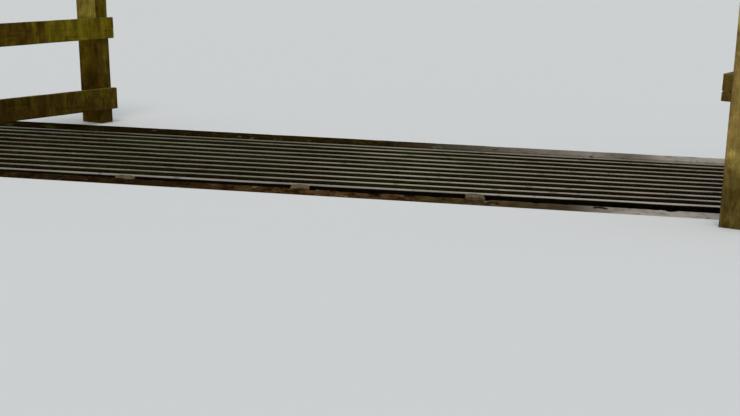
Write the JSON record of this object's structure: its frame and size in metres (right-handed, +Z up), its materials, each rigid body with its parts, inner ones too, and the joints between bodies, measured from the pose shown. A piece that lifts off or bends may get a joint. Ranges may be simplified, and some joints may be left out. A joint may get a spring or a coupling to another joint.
{
  "type": "cattle grid with wing fences",
  "caption": "Cattle grid: round steel bars on I-section bearers over a concrete pit, with a post and rail wing fence across each end.",
  "frame": {"origin": "middle of the pit floor's underside, where the grid stands on level ground", "axes": "+X along the bars, +Y along the road away from the nearer side of the picture, +Z up"},
  "size_m": [6.4916, 3.3568, 1.8506],
  "materials": {
    "bar_steel": "wet, weathered galvanised steel with moss",
    "bearer_steel": "rusty, damp steel",
    "concrete": "weathered, mossy cast concrete",
    "grout": "pale set grit and grout",
    "fence_timber": "weathered sawn softwood with algae"
  },
  "bodies": {
    "root": {"bar_01": "bar_steel", "bar_02": "bar_steel", "bar_03": "bar_steel", "bar_04": "bar_steel", "bar_05": "bar_steel", "bar_06": "bar_steel", "bar_07": "bar_steel", "bar_08": "bar_steel", "bar_09": "bar_steel", "bar_10": "bar_steel", "bar_11": "bar_steel", "bearer_1": "bearer_steel", "bearer_2": "bearer_steel", "bearer_3": "bearer_steel", "bearer_4": "bearer_steel", "bearer_5": "bearer_steel", "bearer_6": "bearer_steel", "end_plate_left": "bar_steel", "end_plate_right": "bar_steel", "end_wall_left": "concrete", "end_wall_right": "concrete", "far_kerb_wall": "concrete", "grout_pack_1": "grout", "grout_pack_2": "grout", "grout_pack_3": "grout", "left_end_post": "fence_timber", "left_end_post_footing": "concrete", "left_kerb_post": "fence_timber", "left_kerb_post_footing": "concrete", "left_rail_1": "fence_timber", "left_rail_2": "fence_timber", "left_rail_3": "fence_timber", "near_kerb_wall": "concrete", "pit_floor": "concrete", "right_end_post": "fence_timber", "right_end_post_footing": "concrete", "right_kerb_post": "fence_timber", "right_kerb_post_footing": "concrete", "right_rail_1": "fence_timber", "right_rail_2": "fence_timber"}
  },
  "joints": []
}
